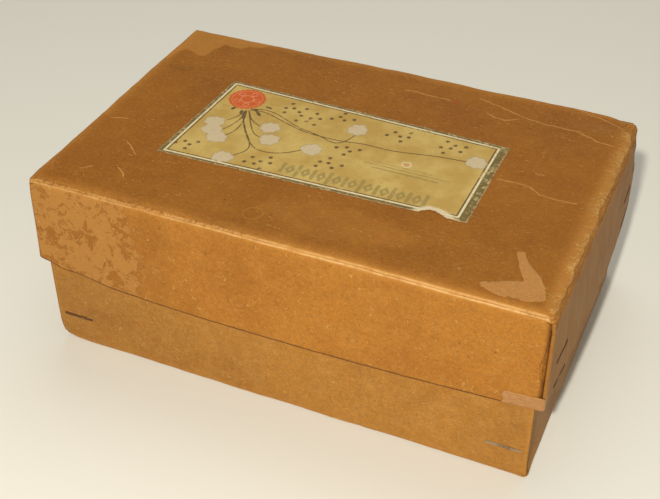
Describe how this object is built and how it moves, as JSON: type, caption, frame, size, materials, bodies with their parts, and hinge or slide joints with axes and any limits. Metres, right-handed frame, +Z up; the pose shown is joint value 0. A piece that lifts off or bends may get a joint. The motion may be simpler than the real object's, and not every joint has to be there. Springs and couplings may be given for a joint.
{
  "type": "wire-stitched telescoping carton",
  "caption": "Rectangular pasteboard storage box: a deep bottom tray with stitched corners and a half-depth lift-off lid that slips over it, with a pasted paper label.",
  "frame": {"origin": "centre of the bottom tray's underside", "axes": "+X along the long walls, +Y from the front long wall to the back one, +Z up through the lid"},
  "size_m": [0.2556, 0.172, 0.0977],
  "materials": {
    "base_board": "matte",
    "lid_board": "matte",
    "stitching_wire": "satin",
    "label_paper": "matte",
    "gummed_tape": "matte"
  },
  "bodies": {
    "base": {"base_tray": "base_board", "base_staple_front_left_low": "stitching_wire", "base_staple_front_left_high": "stitching_wire", "base_staple_front_right_low": "stitching_wire", "base_staple_front_right_high": "stitching_wire", "base_staple_back_left_low": "stitching_wire", "base_staple_back_left_high": "stitching_wire", "base_staple_back_right_low": "stitching_wire", "base_staple_back_right_high": "stitching_wire"},
    "lid": {"lid_tray": "lid_board", "lid_staple_left_front_low": "stitching_wire", "lid_staple_left_front_high": "stitching_wire", "lid_staple_left_back_low": "stitching_wire", "lid_staple_left_back_high": "stitching_wire", "lid_staple_right_front_low": "stitching_wire", "lid_staple_right_front_high": "stitching_wire", "lid_staple_right_back_low": "stitching_wire", "lid_staple_right_back_high": "stitching_wire", "label": "label_paper", "corner_tape": "gummed_tape", "tape_remnant": "gummed_tape"}
  },
  "joints": [
    {"name": "lid_lift", "type": "slide", "parent": "base", "child": "lid", "axis": [0, 0, 1], "range_m": [0, 0.1]}
  ]
}
